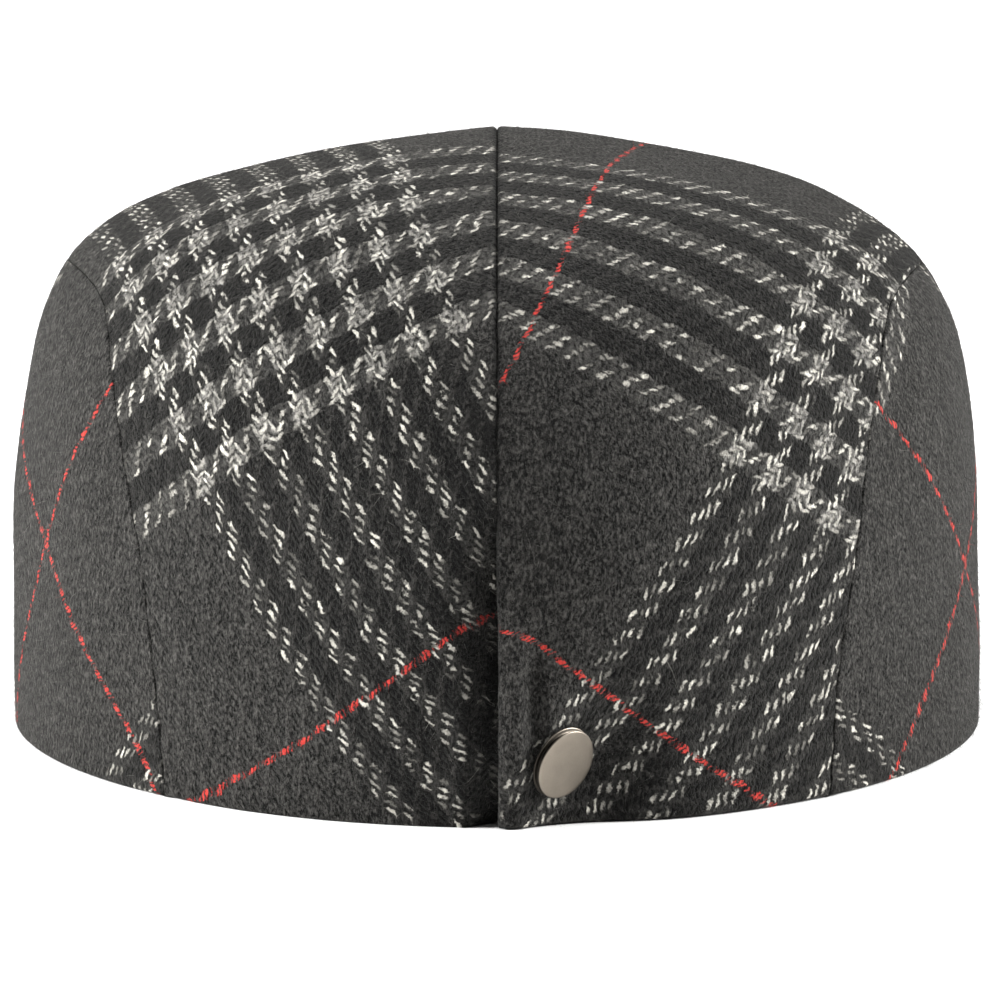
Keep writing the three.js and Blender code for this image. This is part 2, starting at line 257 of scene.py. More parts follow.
def seamLine(place, shift):
    # the side seam on the disc, moved across itself by shift
    def at(s):
        azimuth, ring = np.moveaxis(alongRows(crown["sideSeam"], s), -1, 0)
        return discPoint(np.radians(azimuth), ring)
    nearby = panelMesh["nearby"]
    along = at(np.minimum(place + nearby, 1)) - at(np.maximum(place - nearby, 0))
    along = along / np.linalg.norm(along, axis=-1, keepdims=True)
    point = at(place) + shift * np.stack([-along[..., 1], along[..., 0]], -1)
    length = np.linalg.norm(point, axis=-1, keepdims=True)
    onRim = (place[..., None] <= 0) | (place[..., None] >= 1) | (length > 1)
    return np.where(onRim, point / length, point)


def centreLine(place, shift, isLeft):
    # the centre seam's edge from the back rim (0) over the top to the front edge (1);
    # low at the back the left panel runs on under the right one
    ringY = 1 - 2 * place
    height = crownPoint(np.stack([0 * ringY, ringY], -1))[..., 2]
    width = vent["underlapWidth"] * (1 - (height / vent["underlapHeight"]) ** 2)
    laps = isLeft & (place < 0.5) & (height < vent["underlapHeight"])
    ringX = np.where(laps, np.minimum(shift, -width / crown["rings"][-1][0]), shift)
    point = np.stack([ringX, ringY], -1)
    length = np.linalg.norm(point, axis=-1, keepdims=True)
    return np.where(np.abs(ringY)[..., None] >= 1, point / length, point)


def rimArc(start, end, share):
    # the rim from one point to another by equal angles
    first, last = (np.arctan2(p[..., 0], p[..., 1]) for p in (start, end))
    return discPoint(first + (last - first) * share, np.ones_like(share))


def blendEdges(u, v, low, high, start, end):
    # a Coons patch: two rulings less the plane of the corners
    lowU, highU, startV, endV = low(u), high(u), start(v), end(v)
    zero, one = np.zeros(1), np.ones(1)
    u, v = u[:, None, None], v[None, :, None]
    across = lowU[:, None] * (1 - v) + highU[:, None] * v
    along = startV[None] * (1 - u) + endV[None] * u
    corners = ((low(zero) * (1 - v) + high(zero) * v) * (1 - u)
               + (low(one) * (1 - v) + high(one) * v) * u)
    return across + along - corners


def crowded(count):
    # row places from 0 to 1, closer together at both ends
    t = np.linspace(0, 1, count + 1)
    return t - panelMesh["crowding"] * np.sin(2 * np.pi * t) / (2 * np.pi)


def blendedPatch(isLeft, isSide):
    # the four edge curves of a panel on the disc, as a function of the two row places
    shift = panelMesh["seamGap"] / 2 / panelMesh["discSize"]
    shoulder, front = panelMesh["shoulder"], panelMesh["front"]
    zero, one = np.zeros(1), np.ones(1)
    if isSide:
        return lambda u, v: blendEdges(
            u, v,
            lambda s: rimArc(seamLine(zero, shift), seamLine(one, shift), s),
            lambda s: seamLine(shoulder + (front - shoulder) * s, shift),
            lambda s: seamLine(shoulder * s, shift),
            lambda s: seamLine(1 - (1 - front) * s, shift))
    return lambda u, v: blendEdges(
        u, v,
        lambda s: centreLine(s, shift, isLeft),
        lambda s: seamLine(s, -shift),
        lambda s: rimArc(centreLine(zero, shift, isLeft), seamLine(zero, -shift), s),
        lambda s: rimArc(centreLine(one, shift, isLeft), seamLine(one, -shift), s))


# from arrays to pieces
def gridFaces(rows, columns):
    # four neighbours of the grid make one face
    index = np.arange(rows * columns).reshape(rows, columns)
    corners = [index[:-1, :-1], index[1:, :-1], index[1:, 1:], index[:-1, 1:]]
    return np.stack(corners, -1).reshape(-1, 4)


floorGap = 0.05                 # mm, so no fibre or hem dips through the floor


def newMesh(name, points, faces):
    # points in millimetres about the head's middle, put in metres where the frame has them
    placed = (points.reshape(-1, 3) + [0, crown["headCentreY"], 0]) * mm
    placed[:, 2] = np.maximum(placed[:, 2], floorGap * mm)
    mesh = bpy.data.meshes.new(name)
    mesh.from_pydata(placed.tolist(), [], [list(face) for face in faces])
    mesh.polygons.foreach_set("use_smooth", np.ones(len(faces), bool))
    mesh.update()
    return mesh


def cornerVertices(mesh):
    corners = np.empty(len(mesh.loops), int)
    mesh.loops.foreach_get("vertex_index", corners)
    return corners


def addClothMap(mesh, perVertex):
    # where each vertex lies on the flat cloth, in metres
    layer = mesh.uv_layers.new(name="cloth")
    places = perVertex.reshape(-1, 2)[cornerVertices(mesh)]
    layer.data.foreach_set("uv", places.ravel().astype(np.float32))


def addPointValue(mesh, name, values):
    attribute = mesh.attributes.new(name, "FLOAT", "POINT")
    attribute.data.foreach_set("value", values.ravel().astype(np.float32))


def addPiece(name, mesh, material, node=None):
    piece = bpy.data.objects.new(name, mesh)
    bpy.context.scene.collection.objects.link(piece)
    mesh.materials.append(material)
    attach(piece, "root")
    if node:
        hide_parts(node)
    return piece


def laidFlat(points):
    # the coarse grid unwrapped with the least stretch, in millimetres of cloth
    rows, columns = points.shape[:2]
    mesh = newMesh("flatPattern", points, gridFaces(rows, columns))
    mesh.uv_layers.new(name="flat")
    holder = bpy.data.objects.new("flatPattern", mesh)
    bpy.context.scene.collection.objects.link(holder)
    bpy.ops.object.select_all(action="DESELECT")
    bpy.context.view_layer.objects.active = holder
    holder.select_set(True)
    bpy.ops.object.mode_set(mode="EDIT")
    bpy.ops.mesh.select_all(action="SELECT")
    bpy.ops.uv.unwrap(method="MINIMUM_STRETCH", fill_holes=False, margin=0)
    bpy.ops.object.mode_set(mode="OBJECT")
    flatUv = np.empty(len(mesh.loops) * 2)
    mesh.uv_layers["flat"].data.foreach_get("uv", flatUv)
    flat = np.empty((rows * columns, 2))
    flat[cornerVertices(mesh)] = flatUv.reshape(-1, 2)
    flat = flat.reshape(rows, columns, 2)
    bpy.data.objects.remove(holder)
    bpy.data.meshes.remove(mesh)

    def areas(grid):
        along, across = grid[1:, :-1] - grid[:-1, :-1], grid[:-1, 1:] - grid[:-1, :-1]
        return np.cross(along, across)
    size = np.linalg.norm(areas(points), axis=-1).sum() / abs(areas(flat).sum())
    return flat * math.sqrt(size)


def sampleGrid(grid, u, v):
    # linear between the rows and columns of an evenly spaced grid
    rows, columns = grid.shape[0] - 1, grid.shape[1] - 1
    i = np.minimum((u * rows).astype(int), rows - 1)
    j = np.minimum((v * columns).astype(int), columns - 1)
    s, t = (u * rows - i)[:, None, None], (v * columns - j)[None, :, None]
    low = grid[i][:, j] * (1 - s) + grid[i + 1][:, j] * s
    high = grid[i][:, j + 1] * (1 - s) + grid[i + 1][:, j + 1] * s
    return low * (1 - t) + high * t


# the cloth of each panel
cloth = {
    "undulation": 0.35,         # slow unevenness of the felted wool
    "waves": 9,
    "waveLengths": (22, 70),
    "rimCalm": 8,               # it dies away below about this height
    "pucker": 0.16,             # along the seams
    "puckerLength": 8.5,
    "puckerDrift": 3,           # radians by which its waves come early or late
    "puckerDriftLength": 23,
    "puckerReach": 5,
    "drag": 3.2,                # the picks are pulled down beside the seam, above the vent
    "dragReach": 4.5,
    "dragHeight": 12,
    "seed": 4,
}
# Where the plaid lies on each panel: its place in millimetres at the panel's origin, and how much
# of it passes in one millimetre across and up. The panels are cut on the bias and steamed to
# shape, so the pull changes over them: ease adds so much per square metre of x x, x y and y y.
cuts = {
    "top_panel_left": {
        "ends": (49.67, 0.948, 0.467), "endEase": (0.404, 1.273, -0.702),
        "picks": (-88.67, -0.597, 1.001), "pickEase": (-3.504, 2.21, -1.408)},
    "top_panel_right": {
        "ends": (-33.36, 1.036, -0.569), "endEase": (-2.187, 2.709, 0.391),
        "picks": (-87.87, 0.667, 1.022), "pickEase": (-4.399, -3.17, -0.838)},
    "side_panel_left": {
        "ends": (-25.6, 0.651, -0.759), "endEase": (0, 0, 0),
        "picks": (-139.04, 0.745, 0.668), "pickEase": (0, 0, 0)},
    "side_panel_right": {
        "ends": (-74.3, 0.513, 0.858), "endEase": (0, 0, 0),
        "picks": (-126.73, -0.777, 0.629), "pickEase": (0, 0, 0)},
}
easeReach = 120                 # the easing dies away past this
waves = np.random.default_rng(cloth["seed"])
waveDirections = waves.normal(size=(cloth["waves"], 3))
waveDirections /= np.linalg.norm(waveDirections, axis=1, keepdims=True)
waveLengths = waves.uniform(*cloth["waveLengths"], cloth["waves"])
wavePhases = waves.uniform(0, 2 * math.pi, cloth["waves"])


def unevenness(point):
    # a sum of slow sine waves, each in its own direction
    total = 0
    for direction, length, phase in zip(waveDirections, waveLengths, wavePhases):
        total = total + np.sin(point @ direction * (2 * math.pi / length) + phase)
    return cloth["undulation"] * total / math.sqrt(cloth["waves"])


def closedShell(top, bottom, outward):
    # two faces over one grid that share their border points; outward is 1 where the grid's
    # rows and columns turn left round the top face seen from outside, or else -1
    rows, columns = top.shape[:2]
    layer = rows * columns
    faces = gridFaces(rows, columns)
    border = np.ones((rows, columns), bool)
    border[1:-1, 1:-1] = False
    lower = layer + np.arange(layer).reshape(rows, columns)
    lower[border] -= layer
    lowerFaces = lower.ravel()[faces]
    faces = np.vstack([faces[:, ::outward], lowerFaces[:, ::-outward]])
    kept = np.ones(2 * layer, bool)
    kept[layer:][border.ravel()] = False
    points = np.vstack([top.reshape(-1, 3), bottom.reshape(-1, 3)])[kept]
    return points, (np.cumsum(kept) - 1)[faces], kept


def edgeDistance(points, axis, atEnd):
    # straight distance of every grid point from its row's or column's own edge point
    edge = points.take([-1 if atEnd else 0], axis=axis)
    return np.linalg.norm(points - edge, axis=-1)


def roundedInset(distances, depth, radii):
    # a half round edge: depth times one less the root of one less the square of the nearness
    near = sum(np.maximum(0, 1 - d / radius) ** 2 for d, radius in zip(distances, radii))
    return depth * (1 - np.sqrt(1 - np.minimum(near, 1)))


def straightened(flat, cut, originRow, towardsRow, outward):
    # the flat cloth seen from its face, its origin at one row of the grid's first edge and
    # its height towards another, then turned and moved to the plaid's own ends and picks
    along, across = flat[1:, :-1] - flat[:-1, :-1], flat[:-1, 1:] - flat[:-1, :-1]
    if np.cross(along, across).sum() * outward < 0:
        flat = flat * [-1, 1]
    origin, towards = (flat[tuple(place)] for place in (originRow, towardsRow))
    up = (towards - origin) / np.linalg.norm(towards - origin)
    flat = flat - origin
    upright = np.stack([flat @ [up[1], -up[0]], flat @ up], -1)
    eased = easeReach * np.tanh(upright / easeReach)
    x, y = eased[..., 0], eased[..., 1]
    squares = np.stack([x ** 2, x * y, y ** 2], -1) / 1000
    ends = cut["ends"][0] + upright @ cut["ends"][1:] + squares @ cut["endEase"]
    height = cut["picks"][0] + upright @ cut["picks"][1:] + squares @ cut["pickEase"]
    return np.stack([ends, height], -1)


def buildPanel(name, originRow, towardsRow, seams):
    # the outer face is the panel's surface plus its normal times the unevenness and pucker, less
    # the rounded edge; the inner face is the same a cloth's thickness below
    isLeft, isSide = name.endswith("left"), name.startswith("side")
    mirror = np.array([1 if isLeft else -1, 1])
    patch = blendedPatch(isLeft, isSide)
    u, v = (crowded(count) for count in panelMesh["sideSteps" if isSide else "topSteps"])
    disc = patch(u, v) * mirror
    surface = panelSurface(isLeft)
    outer = surface(disc)
    normal = normalOf(surface, disc)
    behind, height = outer[..., 1] > 0, outer[..., 2]

    distances = [edgeDistance(outer, axis, atEnd) for axis in (0, 1) for atEnd in (False, True)]
    rounds = [panelMesh["sideRound" if k in seams else "seamRound"] for k in range(4)]
    fromCentre = np.full(u.shape + v.shape, np.inf)
    if not isSide:
        rounds[2], fromCentre = panelMesh["seamRound"], distances[2]
    inset = roundedInset(distances, crown["cloth"] / 2, rounds)[..., None]
    fromSeam = np.min([distances[k] for k in seams], axis=0)
    fromSide = np.min([distances[k] for k in seams if isSide or k == 3], axis=0)[..., None]

    along = np.linalg.norm(np.diff(outer, axis=0, prepend=outer[:1]), axis=-1).cumsum(axis=0)
    drift = cloth["puckerDrift"] * np.sin(along / cloth["puckerDriftLength"])
    pucker = cloth["pucker"] * np.sin(2 * math.pi * along / cloth["puckerLength"] + drift)
    pucker = pucker * np.exp(-fromSeam / cloth["puckerReach"])
    lift = (unevenness(outer) * (1 - bell(height, cloth["rimCalm"])) + pucker)[..., None]
    pressed = 1 - panelMesh["sidePressed"] * bell(fromSide, panelMesh["seamRound"])
    top = outer + normal * (lift - inset * pressed)
    bottom = outer + normal * (lift - crown["cloth"] + inset)
    press = panelMesh["seamPress"] * bell(fromCentre, panelMesh["seamRound"])[..., None]
    top, bottom = (face - press * [mirror[0], 0, 0] for face in (top, bottom))
    onRim = isOnRim(disc)[..., None]        # the hem keeps its height
    top, bottom = (np.where(onRim, face * [1, 1, 0] + outer * [0, 0, 1], face)
                   for face in (top, bottom))

    outward = -1 if isLeft == isSide else 1
    points, faces, kept = closedShell(top, bottom, outward)
    mesh = newMesh(name, points, faces)
    coarseU, coarseV = (np.linspace(0, 1, n + 1) for n in panelMesh["flatSteps"])
    flat = laidFlat(crownPoint(patch(coarseU, coarseV) * mirror))
    flat = straightened(flat, cuts[name], originRow, towardsRow, outward)
    clothPlace = sampleGrid(flat, u, v)
    if not isSide:
        drag = bell(outer[..., 0], cloth["dragReach"]) * behind
        drag = drag * bell(height - vent["height"], cloth["dragHeight"])
        clothPlace[..., 1] += cloth["drag"] * drag
    both = np.vstack([clothPlace.reshape(-1, 2)] * 2)[kept]
    addClothMap(mesh, both * mm)

    # painted shade in the seams' grooves
    painted_shade = np.maximum(panelMesh["sideCrease"] * bell(fromSeam, panelMesh["paintedShadeReach"]),
                        bell(fromCentre, panelMesh["paintedShadeReach"]))
    if name == "top_panel_left":
        # painted shade where the left panel turns in under the lapping edge
        low = 1 - smooth(height, vent["height"] - vent["tuckBelow"], vent["underlapHeight"])
        tuckEnd = vent["underlapFrom"] + vent["tuckPast"]
        paintedTuckShade = (1 - smooth(outer[..., 0], vent["tuckFrom"], tuckEnd)) * low * behind
        painted_shade = np.maximum(painted_shade, paintedTuckShade)
    if name == "top_panel_right":
        # painted shade in the pucker's fold
        painted_shade = np.maximum(painted_shade, vent["paintedValleyShade"] * valleyShare(outer) * behind)
    addPointValue(mesh, "painted_shade", np.concatenate([painted_shade.ravel()] * 2)[kept])
    print("cloth panel", name, len(mesh.polygons), "faces")
    return mesh, (top, normal, clothPlace)


# materials
def linear(hexColour):
    # sRGB hex to the linear values the shader wants
    values = [int(hexColour[k:k + 2], 16) / 255 for k in (1, 3, 5)]
    return [v / 12.92 if v <= 0.04045 else ((v + 0.055) / 1.055) ** 2.4 for v in values] + [1]


def nodeAdder(tree):
    # gives the one function that adds a node to this tree
    def add(kind, *inputs, output=0, **settings):
        # one node: its settings by name, its inputs in order, a number, a colour or a link
        node = tree.nodes.new("ShaderNode" + kind)
        for key, value in settings.items():
            if key in node.inputs:
                socket = node.inputs[key]
                if isinstance(value, bpy.types.NodeSocket):
                    tree.links.new(value, socket)
                else:
                    socket.default_value = value
            else:
                setattr(node, key, value)
        for socket, value in zip(node.inputs, inputs):
            if isinstance(value, bpy.types.NodeSocket):
                tree.links.new(value, socket)
            else:
                socket.default_value = value
        return node.outputs[output] if node.outputs else node
    return add


def newMaterial(name):
    material = bpy.data.materials.new(name)
    material.use_nodes = True
    material.node_tree.nodes.clear()
    return material, nodeAdder(material.node_tree)


plaid = {
    "endWidth": 1.0,            # mm from one warp end to the next
    "pickWidth": 1.3,           # mm from one weft pick to the next
    "endRepeat": 152,
    "pickRepeat": 116,
    "bandEnds": 60,             # the first ends of each repeat are four white, four black
    "bandPicks": 44,
    "redEnd": 106,
    "redPick": 80,
    "blackYarn": ("#050505", "#262523"),        # the darkest and palest of its fibres
    "greyYarn": ("#0a0a09", "#585653"),
    "whiteYarn": "#dcd8cd",
    "hazeFibre": "#b4b1ab",
    "paleFibre": "#8f8d88",
    "redYarn": "#c93f38",
    # the colour of the painted shade in seams, under the lapping edge and in the pucker
    "paintedShadeColour": "#0b0b0b",
    # noise that moves the threads: lumps in a mm, detail, roughness, and mm across and up
    "straying": [
        (0.28, 1, 0.5, (1.6, 1.6, 0)),          # whole yarns wander
        (1.3, 2, 0.6, (0.75, 0.95, 0)),         # their edges fray
        (3.4, 2, 0.6, (0.45, 0.45, 0)),         # single fibres stick out
    ],
    # each float's lean, half width and half length, counted in threads
    "warpSliver": (-0.24, 0.4, 1.15),
    "weftSliver": (0.27, 0.38, 1.2),
    "redWarpSliver": (-0.2, 0.9, 1.2),
    "redWeftSliver": (0.27, 0.62, 1.35),
    # noise: lumps in a mm, detail, roughness, and the values that become 0 and 1
    "proud": (0.5, 2, 0.6, 0.3, 0.56),          # where milling leaves the floats to be seen
    "dense": (2.6, 2, 0.6, 0.25, 0.55),         # where it hasn't teased them apart
    "haze": (1.0, 4, 0.75, 0.4, 0.66),
    "wisps": (0.9, 3, 0.6, 0.54, 0.8),
    "wispStretch": (0.6, 1.9, 1),
    # how far a white float is seen: its shape times the first, to the power of the second
    "warpSeen": (1.35, 1.4),
    "weftSeen": (1.3, 1.4),
    # each of these is so much times a share from 0 to 1, plus so much
    "warpStrength": (1.1, 0.15),
    "whiteDense": (0.5, 0.6),
    "redDense": (0.7, 0.3),
    "redWave": (0.6, 0.48),
    # painted shade: the ground's grey scaled by the weave's height, darker in its hollows
    "paintedHollowShade": (0.25, 0.72),
    "redStrength": 2.6,
    "threadRelief": 0.55,                       # as a share of the fibres' own
    "hazeShares": (0.6, 0.08, 0.25),            # added where whites cross, on warp, on weft
    "hazeStrength": 0.6,
    "strokes": (0.7, 0.85),                     # lean and length of the strokes in the red
    "fibresPerMm": (1.8, 1.8, 1.0),             # brushed downwards, so longer up and down
    "ownShade": 0.22,                           # how much the ground's grey varies by the float,
    "fibreShade": 0.95,                         # by the fibre
    "wispShade": 0.4,                           # and by the wisp
    "blackBand": 0.6,                           # how black the bands are all over
    "blackFloat": 0.4,                          # and how much more where their own yarn is on top
    # how far the painted shade goes towards that colour
    "paintedShadeStrength": 0.9,
}


def wovenPlaid():
    # Lambswool woven in a two and two twill, then milled: soft slivers of white and red yarn
    # half sunk in a mottled charcoal ground, under a haze of fibre with a faint sheen.
    material, add = newMaterial("milled_wool_glen_plaid")
    place = add("UVMap", uv_map="cloth")
    place = add("VectorMath", place, (1 / mm, 1 / mm, 0), operation="MULTIPLY")

    def maths(operation, *values, clamp=False):
        return add("Math", *values, operation=operation, use_clamp=clamp)

    def cloud(vector, perMm, detail, roughness, low, high):
        # noise stretched so that low becomes 0 and high 1
        fac = add("TexNoise", Vector=vector, Scale=perMm, Detail=detail, Roughness=roughness,
                  noise_dimensions="2D")
        return add("MapRange", fac, low, high, 0.0, 1.0)

    # noise that is 0 on average moves the place, and the place is then counted in threads
    moved = place
    for perMm, detail, roughness, reach in plaid["straying"]:
        noise = add("TexNoise", Vector=place, Scale=perMm, Detail=detail, Roughness=roughness,
                    noise_dimensions="2D", output=1)
        noise = add("VectorMath", noise, (0.5, 0.5, 0.5), operation="SUBTRACT")
        moved = add("VectorMath", noise, reach, moved, operation="MULTIPLY_ADD")
    threads = add("VectorMath", moved, (1 / plaid["endWidth"], -1 / plaid["pickWidth"], 0),
                  operation="MULTIPLY")
    ends = add("SeparateXYZ", threads)
    picks = ends.node.outputs[1]
    end, pick = maths("FLOOR", ends), maths("FLOOR", picks)

    # each thread lies on top over two of the four that cross it, one step on from its neighbour:
    # across runs from -0.5 to 0.5 over its width, along is 0 to 2 while it is on top
    acrossEnd = maths("SUBTRACT", maths("FRACT", ends), 0.5)
    acrossPick = maths("SUBTRACT", maths("FRACT", picks), 0.5)
    alongEnd = maths("FLOORED_MODULO", maths("ADD", picks, end), 4)
    alongPick = maths("SUBTRACT", maths("FLOORED_MODULO", maths("ADD", ends, pick), 4), 2)
    endFloat = maths("FLOOR", maths("DIVIDE", maths("ADD", picks, end), 4))
    pickFloat = maths("FLOOR", maths("DIVIDE", maths("ADD", ends, pick), 4))

    def sliver(across, along, slant, width, length):
        # one less the squared distance from the middle of the float, in half widths and lengths
        fromMiddle = maths("SUBTRACT", along, 1)
        leaning = maths("MULTIPLY_ADD", fromMiddle, slant, across)
        wide = maths("POWER", maths("DIVIDE", leaning, width), 2)
        far = maths("POWER", maths("DIVIDE", fromMiddle, length), 2)
        return maths("SUBTRACT", 1, maths("ADD", wide, far))

    def chance(a, b, shift):
        # a fixed random number for each float
        return add("TexWhiteNoise", add("CombineXYZ", a, b, shift), noise_dimensions="3D")

    warpShape = sliver(acrossEnd, alongEnd, *plaid["warpSliver"])
    weftShape = sliver(acrossPick, alongPick, *plaid["weftSliver"])
    warpChance, weftChance = chance(end, endFloat, 0.0), chance(pickFloat, pick, 5.0)
    warpOnTop = maths("GREATER_THAN", warpShape, weftShape)

    def onTop(warp, weft):
        # the warp's value where the warp is on top, or else the weft's
        return maths("ADD", maths("MULTIPLY", warpOnTop, maths("SUBTRACT", warp, weft)), weft)

    def inBand(thread, repeat, count):
        return maths("LESS_THAN", maths("FLOORED_MODULO", thread, repeat), count - 0.5)

    def isWhite(thread, repeat):
        # four white, four black
        turn = maths("FLOORED_MODULO", maths("FLOORED_MODULO", thread, repeat), 8)
        return maths("LESS_THAN", turn, 3.5)

    def isRed(thread, repeat, at):
        return maths("COMPARE", maths("FLOORED_MODULO", thread, repeat), at, 0.6)

    bandWarp = inBand(end, plaid["endRepeat"], plaid["bandEnds"])
    bandWeft = inBand(pick, plaid["pickRepeat"], plaid["bandPicks"])
    whiteWarp = maths("MULTIPLY", bandWarp, isWhite(end, plaid["endRepeat"]))
    whiteWeft = maths("MULTIPLY", bandWeft, isWhite(pick, plaid["pickRepeat"]))
    redWarp = isRed(end, plaid["endRepeat"], plaid["redEnd"])
    redWeft = isRed(pick, plaid["pickRepeat"], plaid["redPick"])

    # milling hides some floats, leaves others proud, and spreads their fibre as a grey haze
    proud, dense = cloud(place, *plaid["proud"]), cloud(moved, *plaid["dense"])
    warpStrength = maths("MULTIPLY_ADD", warpChance, *plaid["warpStrength"], clamp=True)
    warpStrength = maths("MULTIPLY", warpStrength, proud)
    weftStrength = maths("MULTIPLY", weftChance, proud)

    def seen(shape, gain, power, share):
        sharper = maths("POWER", maths("MULTIPLY", shape, gain, clamp=True), power)
        return maths("MULTIPLY", sharper, share)
    warpSeen = seen(warpShape, *plaid["warpSeen"], maths("MULTIPLY", warpStrength, whiteWarp))
    weftSeen = seen(weftShape, *plaid["weftSeen"], maths("MULTIPLY", weftStrength, whiteWeft))
    white = maths("MULTIPLY", maths("MAXIMUM", warpSeen, weftSeen),
                  maths("MULTIPLY_ADD", dense, *plaid["whiteDense"]), clamp=True)
    atCrossing, onWarp, onWeft = plaid["hazeShares"]
    spread = maths("MULTIPLY_ADD", whiteWarp, maths("MULTIPLY_ADD", whiteWeft, atCrossing, onWarp),
                   maths("MULTIPLY", whiteWeft, onWeft))
    haze = maths("MULTIPLY", cloud(moved, *plaid["haze"]), spread, clamp=True)

    def strokes(across, along, shape):
        # each red float shows as two or three slanted strokes where the other yarn pinches it
        lean, length = plaid["strokes"]
        leaning = maths("MULTIPLY_ADD", across, lean, along)
        wave = maths("COSINE", maths("MULTIPLY", leaning, 2 * math.pi / length))
        return maths("MULTIPLY", shape, maths("MULTIPLY_ADD", wave, *plaid["redWave"]))
    redEnds = sliver(acrossEnd, alongEnd, *plaid["redWarpSliver"])
    redEnds = maths("MULTIPLY", strokes(acrossEnd, alongEnd, redEnds), redWarp)
    redPicks = sliver(acrossPick, alongPick, *plaid["redWeftSliver"])
    redPicks = maths("MULTIPLY", strokes(acrossPick, alongPick, redPicks), redWeft)
    red = maths("MULTIPLY", maths("MAXIMUM", redEnds, redPicks), plaid["redStrength"])
    red = maths("MULTIPLY", red, maths("MULTIPLY_ADD", dense, *plaid["redDense"]), clamp=True)

    # the ground: every float its own grey, under fibres brushed downwards and paler wisps
    own = onTop(warpChance, weftChance)
    own = maths("MULTIPLY", own, own)
    brushed = add("VectorMath", add("TexCoord", output=3),
                  tuple(count / mm for count in plaid["fibresPerMm"]), operation="MULTIPLY")
    fibres = add("TexNoise", Vector=brushed, Scale=1, Detail=3, Roughness=0.75)
    fibres = add("MapRange", fibres, 0.45, 0.66, 0.0, 1.0)
    wispPlace = add("VectorMath", moved, plaid["wispStretch"], operation="MULTIPLY")
    wisps = cloud(wispPlace, *plaid["wisps"])
    shade = maths("MULTIPLY_ADD", maths("MULTIPLY", own, own), plaid["ownShade"],
                  maths("MULTIPLY", fibres, plaid["fibreShade"]))
    shade = maths("MULTIPLY_ADD", wisps, plaid["wispShade"], shade, clamp=True)
    # painted shade: the ground is darker in the hollows between the floats, by the floats' height
    relief = maths("MAXIMUM", warpShape, weftShape)
    shade = maths("MULTIPLY", shade, maths("MULTIPLY_ADD", relief, *plaid["paintedHollowShade"]),
                  clamp=True)
    black = maths("MULTIPLY_ADD", maths("MAXIMUM", bandWarp, bandWeft), plaid["blackBand"],
                  maths("MULTIPLY", onTop(bandWarp, bandWeft), plaid["blackFloat"]))
    greyGround = add("MixRGB", shade, *[linear(c) for c in plaid["greyYarn"]])
    blackGround = add("MixRGB", shade, *[linear(c) for c in plaid["blackYarn"]])
    colour = add("MixRGB", black, greyGround, blackGround)
    colour = add("MixRGB", maths("MULTIPLY", haze, plaid["hazeStrength"]), colour,
                 linear(plaid["hazeFibre"]))
    colour = add("MixRGB", red, colour, linear(plaid["redYarn"]))
    colour = add("MixRGB", white, colour, linear(plaid["whiteYarn"]))

    # fibres raised from the cloth carry its colour at their root, paled by their own share
    pale = add("Attribute", attribute_name="pale", output=2)
    colour = add("MixRGB", pale, colour, linear(plaid["paleFibre"]))
    # painted shade: seams, the recess under the lapping edge and the pucker's fold darkened
    # towards near black
    painted_shade = add("Attribute", attribute_name="painted_shade", output=2)
    colour = add("MixRGB", maths("MULTIPLY", painted_shade, plaid["paintedShadeStrength"]), colour,
                 linear(plaid["paintedShadeColour"]))
    height = maths("MULTIPLY_ADD", relief, plaid["threadRelief"], fibres)
    bump = add("Bump", Height=height, Strength=0.9, Distance=0.4 * mm)
    shader = add("BsdfPrincipled", **{
        "Base Color": colour, "Normal": bump, "Roughness": 0.92, "Specular IOR Level": 0.12,
        "Sheen Weight": 0.1, "Sheen Roughness": 0.4, "Sheen Tint": linear("#d8d6d0")})
    add("OutputMaterial", Surface=shader)
    return material


snapMetal = {
    "colours": ("#6f685f", "#847c71"),          # of its stains
    # the colour of the painted shade
    "paintedSnapShade": "#191715",
    "grainPerMm": 2.5,
    "stainsPerMm": 0.25,
    "roughness": (0.34, 0.5),
}


def satinMetal():
    # A nickel plated brass press snap, bead blasted then worn: a soft warm grey, slightly stained,
    # with a fine grain that spreads its highlights; painted shade makes its groove and one side
    # black.
    material, add = newMaterial("satin_nickel_snap")
    place = add("TexCoord", output=3)
    grain = add("TexNoise", Vector=place, Scale=snapMetal["grainPerMm"] / mm, Detail=3,
                Roughness=0.7)
    stains = add("TexNoise", Vector=place, Scale=snapMetal["stainsPerMm"] / mm, Detail=2)
    colour = add("MixRGB", stains, *[linear(c) for c in snapMetal["colours"]])
    # painted shade, with a painted highlight where the flange's top is left bright
    paintedSnapShade = add("Attribute", attribute_name="paintedSnapShade", output=2)
    colour = add("MixRGB", paintedSnapShade, colour, linear(snapMetal["paintedSnapShade"]))
    rough = add("MapRange", grain, 0.3, 0.7, *snapMetal["roughness"])
    bump = add("Bump", Height=grain, Strength=0.25, Distance=0.03 * mm)
    shader = add("BsdfPrincipled", **{
        "Base Color": colour, "Metallic": 1.0, "Roughness": rough, "Normal": bump})
    add("OutputMaterial", Surface=shader)
    return material


def paperFloor():
    # Matt white studio paper.
    material, add = newMaterial("matt_white_paper")
    shader = add("BsdfPrincipled", **{
        "Base Color": linear("#fcfcfb"), "Roughness": 0.9, "Specular IOR Level": 0.1})
    add("OutputMaterial", Surface=shader)
    return material


